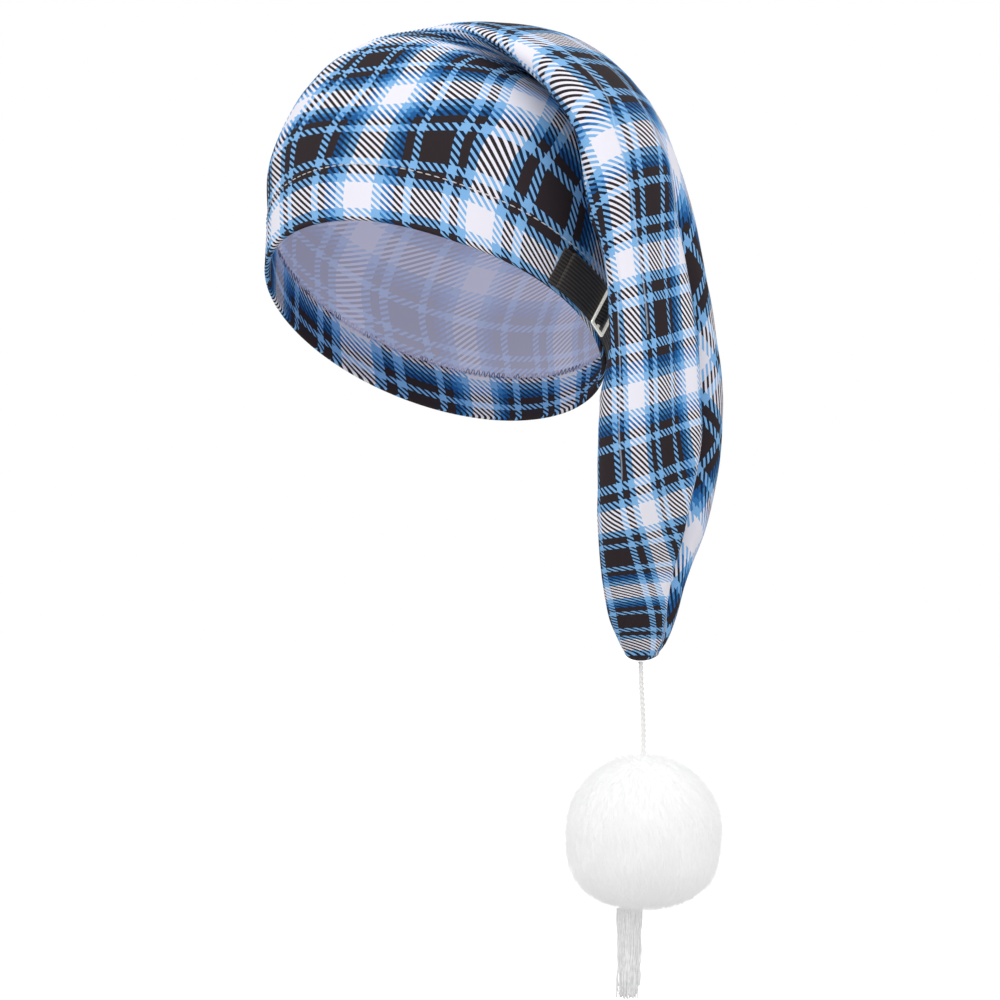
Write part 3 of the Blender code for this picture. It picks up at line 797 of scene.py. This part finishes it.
def ribbonMesh(name, corners):
    setup = strapSetup
    path, travelled = roundedPath(corners, setup["step"])
    way = np.gradient(path, axis=0)
    side = np.stack((-way[:, 1], way[:, 0]), axis=1) / np.linalg.norm(way, axis=1, keepdims=True)
    share = np.linspace(0, 1, setup["acrossPoints"])
    edge = np.clip(np.minimum(share, 1 - share) / setup["edge"], 0, 1) ** 0.5
    rib = setup["ribDepth"] * (np.abs(np.sin(np.pi * setup["ribs"] * share)) ** 0.6 - 1)
    half = (setup["thickness"] / 2 + rib) * (setup["edgeThin"] + (1 - setup["edgeThin"]) * edge)
    offsets = np.concatenate((-half, half[::-1]))
    shares = np.concatenate((share, share[::-1]))
    along = path[:, :1] + side[:, :1] * offsets
    height = path[:, 1:] + side[:, 1:] * offsets
    rise = np.broadcast_to(setup["rise"] + setup["width"] * shares, along.shape)
    point, _, outward = hemFrame(along, rise)
    rows = point + outward * height[..., None]
    mapping = np.zeros((len(path), len(offsets) + 1, 2))
    mapping[:, :-1, 0] = travelled[:, None]
    mapping[:, :-1, 1] = shares * setup["width"]
    mapping[:, -1] = mapping[:, 0]
    return gridMesh(name, rows, {"strapMap": mapping}, closedAcross=True, capped=True)


def buildStrap():
    setup = strapSetup
    finish, tree, shader = newMaterial("ribbedElastic", hexColour("1d1b1c"), 0.62)
    shader.inputs["Sheen Weight"].default_value = 0.25
    shader.inputs["Sheen Roughness"].default_value = 0.4
    place = mapPlace(tree, "strapMap")
    addBump(tree, shader, waveNode(tree, place, 520.0, 1.5, "X"), 0.5, 0.00015)
    # painted highlight and shade: the ribs' crests painted lighter and the hollows between them darker, with a little
    # random variation
    parts = addNode(tree, "ShaderNodeSeparateXYZ", {0: place}).outputs
    ribAngle = mathNode(tree, "MULTIPLY", parts[1], math.pi * setup["ribs"] / setup["width"])
    crest = mathNode(tree, "POWER", mathNode(tree, "ABSOLUTE", mathNode(tree, "SINE", ribAngle)), 2.0)
    shade = mathNode(tree, "MULTIPLY", crest, mathNode(tree, "ADD", noiseNode(tree, place, 1500.0), 0.4))
    tone = mixColour(tree, shade, hexColour("0f0b0a"), hexColour("4c443f"))
    tree.links.new(tone, shader.inputs["Base Color"])
    foot, top = setup["weaveFoot"] * sliderSetup["spacing"], setup["weaveTop"] * sliderSetup["spacing"]
    under = ribbonMesh("strapUnder", [(-setup["front"], lowerLayer), (setup["rear"], lowerLayer)])
    fold = -setup["fold"]
    over = ribbonMesh("strapOver", [
        (fold + 0.0030, lowerLayer + 0.0002), (fold + 0.0002, lowerLayer + 0.0003),
        (fold, upperLayer), (fold + 0.0016, upperLayer),
        (-2 * foot, upperLayer), (-foot, upperLayer), (-top, crestLayer), (top, crestLayer), (foot, upperLayer),
        (setup["tab"], upperLayer),
    ])
    under.materials.append(finish)
    over.materials.append(finish)
    pieces = [addPiece("strapUnder", under), addPiece("strapOver", over)]
    for piece in pieces:
        fitPiece(piece, "elastic_strap")
    return pieces


def buildSlider():
    setup = sliderSetup
    curve = bpy.data.curves.new("stripSlider", "CURVE")
    curve.dimensions = "2D"
    curve.fill_mode = "BOTH"
    curve.extrude = setup["thickness"] / 2 - setup["bevel"]
    curve.bevel_depth = setup["bevel"]
    curve.bevel_resolution = 3
    curve.offset = -setup["bevel"]

    def addOutline(middle, length, width, corner):
        spline = curve.splines.new("POLY")
        points = []
        for quarter, (right, up) in enumerate(((1, 1), (-1, 1), (-1, -1), (1, -1))):
            for step in range(setup["cornerSteps"] + 1):
                angle = math.radians(90 * (quarter + step / setup["cornerSteps"]))
                points.append((
                    middle + right * (length / 2 - corner) + corner * math.cos(angle),
                    up * (width / 2 - corner) + corner * math.sin(angle), 0, 1,
                ))
        spline.points.add(len(points) - 1)
        for target, point in zip(spline.points, points):
            target.co = point
        spline.use_cyclic_u = True

    addOutline(0, 2 * setup["spacing"] + setup["bar"], setup["width"], setup["corner"])
    for side in (-1, 1):
        length, width = setup["spacing"] - setup["bar"], setup["width"] - 2 * setup["bar"]
        addOutline(side * setup["spacing"] / 2, length, width, setup["slotCorner"])
    piece = bakePiece(addPiece("stripSlider", curve))
    point, beside, outward = hemFrame(0.0, strapSetup["rise"] + strapSetup["width"] / 2)
    beside, outward = Vector(beside), Vector(outward)
    axes = Matrix((beside, outward.cross(beside), outward)).transposed().to_4x4()
    piece.data.transform(Matrix.Translation(Vector(point) + outward * sliderLayer) @ axes)
    finish, tree, shader = newMaterial("brightNickel", hexColour("f2f0e8"), 0.2, Metallic=0.85)
    # painted glow: the slider gives off warm white light of its own, a painted highlight over all its metal
    addGlow(shader, setup["glow"], hexColour("f4f1e4"))
    smear = noiseNode(tree, objectPlace(tree), 500.0, 4.0)
    rough = addNode(tree, "ShaderNodeMapRange", {0: smear, 3: 0.16, 4: 0.34}).outputs[0]
    tree.links.new(rough, shader.inputs["Roughness"])
    addBump(tree, shader, smear, 0.05, 0.00005)
    piece.data.materials.clear()
    piece.data.materials.append(finish)
    piece.data.set_sharp_from_angle(angle=math.radians(40))
    fitPiece(piece, "slider_buckle")
    return piece


strap = buildStrap()
slider = buildSlider()
print("strap and slider ready")


# Stitches: a row of dashes over the turned hem, and a looped edge on its cut side inside
stitchSetup = {
    "length": 0.0031,
    "pitch": 0.0043,
    "thread": 0.00030,
    "sag": 0.0001,
    "lift": 0.0002,
    # angle, then the seam's height over the rim
    "line": (
        (-220, 0.0262), (-40, 0.0268), (0, 0.0275), (30, 0.0268),
        (50, 0.0258), (70, 0.0245), (118, 0.0245), (140, 0.0262),
    ),
    "loopPitch": 0.0015,
    "loopHeight": 0.0040,
    "loopThread": 0.00028,
    "loopLean": 0.28,
    "loopSink": 0.0004,
    "loopLift": 0.00005,
}


def capsuleMesh(name, length, radius, sag=0.0, sides=6, rings=6):
    # a stitch along X that dips at both ends
    rows = []
    for step in range(rings + 1):
        t = -1 + 2 * step / rings
        thick = radius * max(1 - abs(t) ** 4, 0.15)
        for side in range(sides):
            angle = 2 * math.pi * side / sides
            rows.append((t * length / 2, thick * math.cos(angle), thick * math.sin(angle) - sag * t * t))
    points = np.array(rows).reshape(rings + 1, sides, 3)
    return gridMesh(name, points, closedAcross=True, capped=True)


def hemRing(heightOf, pitch):
    # even steps along a line round the cap
    degrees = np.linspace(capForm["seamAngle"] - 360, capForm["seamAngle"], 1400)
    heights = np.array([heightOf(angle) for angle in degrees])
    line = capPoints(heights, degrees, mainFolds)
    travelled = pathLengths(line)
    count = int(travelled[-1] / pitch)
    even = (np.arange(count) + 0.5) * travelled[-1] / count
    return np.interp(even, travelled, heights), np.interp(even, travelled, degrees)


def buildStitches():
    setup = stitchSetup
    finish, tree, shader = newMaterial("seamThread", hexColour("dcd8da"), 0.6)
    addBump(tree, shader, noiseNode(tree, objectPlace(tree), 4200.0), 0.4, 0.0001)
    loopFinish, tree, shader = newMaterial("overlockThread", hexColour("c9c6dc"), 0.6)
    # the thread darker in random patches
    patchNoise = noiseNode(tree, objectPlace(tree), 90.0)
    share = addNode(tree, "ShaderNodeMapRange", {0: patchNoise, 1: 0.50, 2: 0.56}).outputs[0]
    tone = mixColour(tree, share, hexColour("d2d0e6"), hexColour("72748f"))
    tree.links.new(tone, shader.inputs["Base Color"])
    knots = np.array(setup["line"])

    def seamLine(angle):
        return float(np.interp(angle, knots[:, 0], knots[:, 1]))

    heights, degrees = hemRing(seamLine, setup["pitch"])
    points = capPoints(heights, degrees)
    ahead = capPoints(np.array([seamLine(a + 0.5) for a in degrees]), degrees + 0.5) - points
    outward = capAxes(heights, degrees)[2]
    turns = [turnFor(way, up) for way, up in zip(ahead, outward)]
    shape = capsuleMesh("dash", setup["length"], setup["thread"], sag=setup["sag"])
    raised = points + outward * setup["lift"]
    dashes = scatterShape("hemStitches", shape, raised, turns, np.ones((len(points), 3)), finish)
    heights, degrees = hemRing(lambda angle: capForm["hemWidth"], setup["loopPitch"])
    beside, above, outward = capAxes(heights, degrees)
    above /= np.linalg.norm(above, axis=1, keepdims=True)
    inside = capPoints(heights, degrees) - outward * (2 * capForm["hemRadius"] + setup["loopLift"])
    points, turns = [], []
    for index in range(len(inside)):
        lean = setup["loopLean"] * (1 if index % 2 else -1)
        points.append(inside[index] - above[index] * setup["loopSink"])
        turns.append(turnFor(above[index] + beside[index] * lean, -outward[index]))
    shape = capsuleMesh("loop", setup["loopHeight"], setup["loopThread"], sag=-setup["sag"])
    loops = scatterShape("overlockEdge", shape, points, turns, np.ones((len(points), 3)), loopFinish)
    for piece in (dashes, loops):
        fitPiece(piece)
    return dashes, loops


hemStitches, overlockEdge = buildStitches()
print("stitches ready")


# The fur ball: a round backing under short dense hair, combed down and longer low on one side
furSetup = {
    "centre": (0.12027, 0.0, -0.246),
    "radius": 0.0385,
    "squash": 0.965,
    "squareness": 2.7,
    "backing": 0.94,
    "hairLength": 0.0072,
    "hairWidth": 0.00018,
    "lean": 1.7,
    "rise": 0.24,
    "swirl": 0.35,
    "comb": (0.12, -0.1, -1.0),
    "jitter": 0.11,
    "lengths": (0.7, 1.15),
    "bend": 0.22,
    "lumpScale": 2.3,
    "lumpHeight": 0.0012,
    "density": 620000.0,
    "parts": 2,
    "shortBelow": 0.42,
    "patchWay": (0.15, -0.62, -0.77),
    "patchEdge": 0.62,
    "patchLength": 0.0088,
    "patchSwirl": 1.5,
    "patchDensity": 420000.0,
    "glow": 0.175,
}


def ballReach(directions):
    # fuller below than a ball
    level = np.hypot(directions[:, 0], directions[:, 1])
    power = furSetup["squareness"]
    low = (level**power + np.abs(directions[:, 2]) ** power) ** (-1 / power)
    return np.where(directions[:, 2] > 0, 1.0, low)


def ballMesh(name, share, subdivisions):
    setup = furSetup
    bm = bmesh.new()
    bmesh.ops.create_icosphere(bm, subdivisions=subdivisions, radius=1)
    directions = np.array([vertex.co.normalized()[:] for vertex in bm.verts])
    reach = ballReach(directions) * setup["radius"] * share
    for vertex, direction, length in zip(bm.verts, directions, reach):
        lumps = noise.noise(Vector(direction) * setup["lumpScale"]) * setup["lumpHeight"] * (1 - direction[2]) / 2
        place = direction * (length + lumps)
        vertex.co = Vector((place[0], place[1], place[2] * setup["squash"])) + Vector(setup["centre"])
    mesh = bpy.data.meshes.new(name)
    bm.to_mesh(mesh)
    bm.free()
    mesh.shade_smooth()
    return mesh


def hairMesh():
    # a hair along Z, one unit long and 0.02 wide, bending over towards X
    rows, bend, half = [], furSetup["bend"], 0.02
    for step in range(4):
        t = step / 3
        for side in range(3):
            angle = 2 * math.pi * side / 3
            thick = 0.5 * (1 - 0.85 * t**1.5)
            rows.append((bend * t * t + thick * math.cos(angle) * half, thick * math.sin(angle) * half, t))
    return gridMesh("hair", np.array(rows).reshape(4, 3, 3), closedAcross=True)


def furTree():
    sockets = {"Shape": "Object", "Density": "Float", "Length": "Float", "Width": "Float", "Lean": "Float",
               "Swirl": "Float", "Edge": "Float", "Seed": "Int", "Finish": "Material"}
    tree, given, out = newTree("growFur", sockets)
    facing = addNode(tree, "GeometryNodeInputNormal").outputs[0]
    patch = vectorMath(tree, "DOT_PRODUCT", facing, furSetup["patchWay"])
    chosen = addNode(
        tree, "FunctionNodeCompare", {0: patch, 1: given["Edge"]}, data_type="FLOAT", operation="GREATER_THAN",
    ).outputs[0]
    scattered = addNode(
        tree, "GeometryNodeDistributePointsOnFaces",
        {"Mesh": given["Geometry"], "Selection": chosen, "Density": given["Density"], "Seed": given["Seed"]},
    ).outputs
    normal = scattered["Normal"]

    # each hair is combed down, swirled and jittered, then laid almost flat on the ball
    place = addNode(tree, "GeometryNodeInputPosition").outputs[0]
    wander = vectorMath(tree, "SUBTRACT", noiseNode(tree, place, 55.0, 1.0, output=1), (0.5, 0.5, 0.5))
    swirl = vectorMath(tree, "SCALE", wander, given["Swirl"])
    far, seed = furSetup["jitter"], given["Seed"]
    jitter = addNode(
        tree, "FunctionNodeRandomValue", {0: (-far,) * 3, 1: (far,) * 3, "Seed": seed}, data_type="FLOAT_VECTOR",
    ).outputs[0]
    combed = vectorMath(tree, "ADD", vectorMath(tree, "SCALE", furSetup["comb"], given["Lean"]), swirl)
    combed = vectorMath(tree, "ADD", combed, jitter)
    inward = vectorMath(tree, "DOT_PRODUCT", combed, normal)
    lying = vectorMath(tree, "SUBTRACT", combed, vectorMath(tree, "SCALE", normal, inward))
    way = vectorMath(tree, "ADD", lying, vectorMath(tree, "SCALE", normal, furSetup["rise"]))
    turn = addNode(tree, "FunctionNodeAlignRotationToVector", {"Vector": way}, axis="Z").outputs[0]
    spin, vary = (
        addNode(tree, "FunctionNodeRandomValue", {2: low, 3: high, "Seed": seed}, data_type="FLOAT").outputs[1]
        for low, high in ((0.0, fullTurn), furSetup["lengths"])
    )
    spun = addNode(tree, "ShaderNodeCombineXYZ", {2: spin}).outputs[0]
    turned = addNode(tree, "FunctionNodeRotateRotation", {0: turn, 1: spun}, rotation_space="LOCAL").outputs[0]

    # shorter under the ball
    level = addNode(tree, "ShaderNodeSeparateXYZ", {0: normal}).outputs[2]
    below = addNode(tree, "ShaderNodeMapRange", {0: level, 1: -0.95, 2: -0.45, 3: furSetup["shortBelow"], 4: 1.0})
    length = mathNode(tree, "MULTIPLY", mathNode(tree, "MULTIPLY", given["Length"], vary), below.outputs[0])
    width = mathNode(tree, "MULTIPLY", given["Width"], 50.0)
    size = addNode(tree, "ShaderNodeCombineXYZ", {0: width, 1: width, 2: length}).outputs[0]
    shape = addNode(tree, "GeometryNodeObjectInfo", {"Object": given["Shape"]}).outputs["Geometry"]
    return finishCopies(
        tree, out, given["Finish"],
        {"Points": scattered["Points"], "Instance": shape, "Rotation": turned, "Scale": size},
    )


def buildFur():
    setup = furSetup
    finish, tree, shader = newMaterial("whiteFur", hexColour("f4f4f4"), 0.9)
    # painted glow: the fur gives off white light of its own, lifting its shaded sides
    addGlow(shader, setup["glow"])
    addBump(tree, shader, noiseNode(tree, objectPlace(tree), 900.0, 3.0), 0.5, 0.0004)
    backing = addPiece("furBacking", ballMesh("furBacking", setup["backing"], 5), finish)
    hair = addPiece("hairShape", hairMesh())
    tree = furTree()
    pieces = [backing]
    layers = [(setup["density"], setup["hairLength"], setup["swirl"], -2.0)] * setup["parts"]
    layers.append((setup["patchDensity"], setup["patchLength"], setup["patchSwirl"], setup["patchEdge"]))
    for part, (density, length, swirl, edge) in enumerate(layers, 1):
        ball = addPiece(f"furLayer{part}", ballMesh(f"furLayer{part}", setup["backing"], 4))
        pieces.append(runTree(
            ball, tree, Shape=hair, Density=density, Length=length, Width=setup["hairWidth"],
            Lean=setup["lean"], Swirl=swirl, Edge=edge, Seed=part, Finish=finish,
        ))
    bpy.data.objects.remove(hair, do_unlink=True)
    for piece in pieces:
        fitPiece(piece, "pompom")
    return pieces


furPieces = buildFur()
print("fur ball:", sum(len(piece.data.polygons) for piece in furPieces), "faces")


# The silk tassel: threads of unlike length that hang from under the fur
tasselSetup = {
    "top": (0.11277, 0.0, -0.2838),
    "length": 0.0430,
    "radius": 0.0060,
    "footRadius": 0.0050,
    "threads": 170,
    "thread": 0.00030,
    "wave": 0.0010,
    "waves": 9,
    "stations": 26,
    "sides": 5,
    "scatter": 0.0006,
    "shorter": 0.2,
    "drift": 0.0008,
    "glow": 0.17,
    "seed": 7,
}
goldenAngle = 2.39996


def buildTassel():
    setup = tasselSetup
    finish, tree, shader = newMaterial("silkThread", hexColour("e8e8e9"), 0.38)
    # painted glow: the threads give off white light of their own
    addGlow(shader, setup["glow"])
    place = objectPlace(tree)
    tone = mixColour(tree, noiseNode(tree, place, 380.0), hexColour("c6c6c8"), hexColour("fbfbfb"))
    tree.links.new(tone, shader.inputs["Base Color"])
    addBump(tree, shader, waveNode(tree, place, 700.0, 2.0, "Z"), 0.5, 0.0001)

    # one thread a unit long down -Z, gently waved
    stations = np.linspace(0, 1, setup["stations"])
    around = np.linspace(0, 2 * math.pi, setup["sides"], endpoint=False)
    sway = setup["wave"] * np.sin(stations * setup["waves"]) * stations
    rows = np.zeros((len(stations), len(around), 3))
    rows[..., 0] = sway[:, None] + setup["thread"] * np.cos(around)
    rows[..., 1] = 0.6 * sway[::-1][:, None] + setup["thread"] * np.sin(around)
    rows[..., 2] = -stations[:, None]
    shape = gridMesh("thread", rows[:, ::-1], closedAcross=True, capped=True)
    rng = np.random.default_rng(setup["seed"])
    points, turns, stretches = [], [], []
    for index in range(setup["threads"]):
        spread = math.sqrt((index + 0.5) / setup["threads"])
        angle = index * goldenAngle
        out = Vector((spread * math.cos(angle), spread * math.sin(angle), 0))
        top = Vector(setup["top"]) + out * setup["radius"]
        strayed = Vector((rng.normal(0, setup["scatter"]), rng.normal(0, setup["scatter"]), 0))
        length = setup["length"] * (1 - setup["shorter"] * rng.random() ** 1.5)
        foot = Vector(setup["top"]) + out * setup["footRadius"] + strayed - Vector((setup["drift"], 0, length))
        down = foot - top
        turn = Vector((0, 0, -1)).rotation_difference(down).to_matrix()
        spin = Matrix.Rotation(rng.random() * fullTurn, 3, "Z")
        points.append(top)
        turns.append(tuple((turn @ spin).to_euler()))
        stretches.append((1, 1, down.length))
    piece = scatterShape("silkTassel", shape, points, turns, stretches, finish)
    fitPiece(piece, "tassel")
    return piece


tassel = buildTassel()
print("tassel ready")


# Stage: a white floor well below the tassel and soft lights
stageSetup = {
    "floor": -0.42,
    "size": 8.0,
    "ambient": 0.66,
    "floorGlow": 1.0,
    "aim": (0.03, 0, -0.09),
    "lights": (
        ("keySoft", (-0.45, -1.30, 0.95), 1.2, 10.0),
        ("fillSide", (1.45, -0.40, 0.25), 1.0, 5.0),
        ("topSoft", (0.25, 0.35, 1.4), 1.2, 3.0),
        ("lowSoft", (0.45, -1.55, -0.33), 0.7, 2.0),
    ),
}


def buildStage():
    setup = stageSetup
    half = setup["size"] / 2
    mesh = bpy.data.meshes.new("floor")
    corners = [(x * half, y * half, setup["floor"]) for x, y in ((-1, -1), (1, -1), (1, 1), (-1, 1))]
    mesh.from_pydata(corners, [], [(0, 1, 2, 3)])
    finish, tree, shader = newMaterial("paleFloor", (0.5, 0.5, 0.5, 1), 0.9)
    seen = addNode(tree, "ShaderNodeLightPath").outputs["Is Camera Ray"]
    addGlow(shader, 0.0)
    tree.links.new(mathNode(tree, "MULTIPLY", seen, setup["floorGlow"]), shader.inputs["Emission Strength"])
    floor = addPiece("floor", mesh, finish)
    for name, place, size, power in setup["lights"]:
        data = bpy.data.lights.new(name, "AREA")
        data.size = size
        data.energy = power
        lamp = bpy.data.objects.new(name, data)
        lamp.location = place
        lamp.rotation_euler = (Vector(setup["aim"]) - Vector(place)).to_track_quat("-Z", "Y").to_euler()
        bpy.context.scene.collection.objects.link(lamp)
    world = bpy.data.worlds.new("whiteSurround")
    world.use_nodes = True
    tree = world.node_tree
    seen = addNode(tree, "ShaderNodeLightPath").outputs["Is Camera Ray"]
    strength = addNode(tree, "ShaderNodeMapRange", {0: seen, 3: setup["ambient"], 4: 1.0}).outputs[0]
    tree.nodes["Background"].inputs[0].default_value = (1, 1, 1, 1)
    tree.links.new(strength, tree.nodes["Background"].inputs[1])
    bpy.context.scene.world = world
    bpy.context.scene.view_settings.view_transform = "Standard"


buildStage()
print("stage ready")
